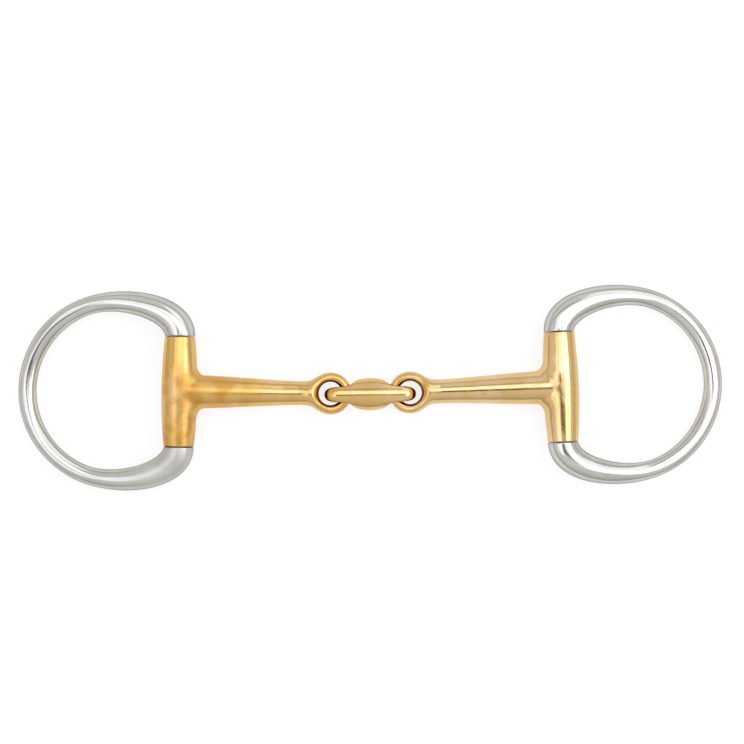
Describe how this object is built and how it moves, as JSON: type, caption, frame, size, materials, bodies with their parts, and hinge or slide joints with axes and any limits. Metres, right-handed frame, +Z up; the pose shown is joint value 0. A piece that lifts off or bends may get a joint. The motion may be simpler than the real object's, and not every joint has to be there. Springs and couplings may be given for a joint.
{
  "type": "snaffle bit",
  "caption": "Eggbutt snaffle bit: D-shaped steel cheek rings hinged on barrel butts, tapered gold-coloured cannons and an olive-shaped centre link.",
  "frame": {"origin": "on the surface that the bit lies on, under the middle of the bit", "axes": "+X along the mouthpiece towards the right ring, +Y across it along the butts, +Z up from the surface"},
  "size_m": [0.2754, 0.0776, 0.014],
  "materials": {
    "ring_steel": "mirror-polished stainless steel",
    "pin_steel": "ground",
    "gold_alloy": "polished copper alloy"
  },
  "bodies": {
    "link": {"centre_link": "gold_alloy"},
    "left_half": {"left_cannon": "gold_alloy"},
    "left_cheek": {"left_ring": "ring_steel", "left_upper_pin": "pin_steel", "left_lower_pin": "pin_steel"},
    "right_half": {"right_cannon": "gold_alloy"},
    "right_cheek": {"right_ring": "ring_steel", "right_upper_pin": "pin_steel", "right_lower_pin": "pin_steel"}
  },
  "joints": [
    {"name": "left_fold", "type": "hinge", "parent": "link", "child": "left_half", "pos_m": [-0.00935, -0.00236, 0.0052], "axis": [0, 1, 0], "range_deg": [-45, 45]},
    {"name": "right_fold", "type": "hinge", "parent": "link", "child": "right_half", "pos_m": [0.00935, -0.00236, 0.0052], "axis": [0, -1, 0], "range_deg": [-45, 45]},
    {"name": "left_ring_swing", "type": "hinge", "parent": "left_half", "child": "left_cheek", "pos_m": [-0.07445, -0.00065, 0.007], "axis": [0.0262, 0.9997, 0], "range_deg": [-100, 100]},
    {"name": "right_ring_swing", "type": "hinge", "parent": "right_half", "child": "right_cheek", "pos_m": [0.07445, -0.00065, 0.007], "axis": [0.0262, -0.9997, 0], "range_deg": [-100, 100]}
  ]
}
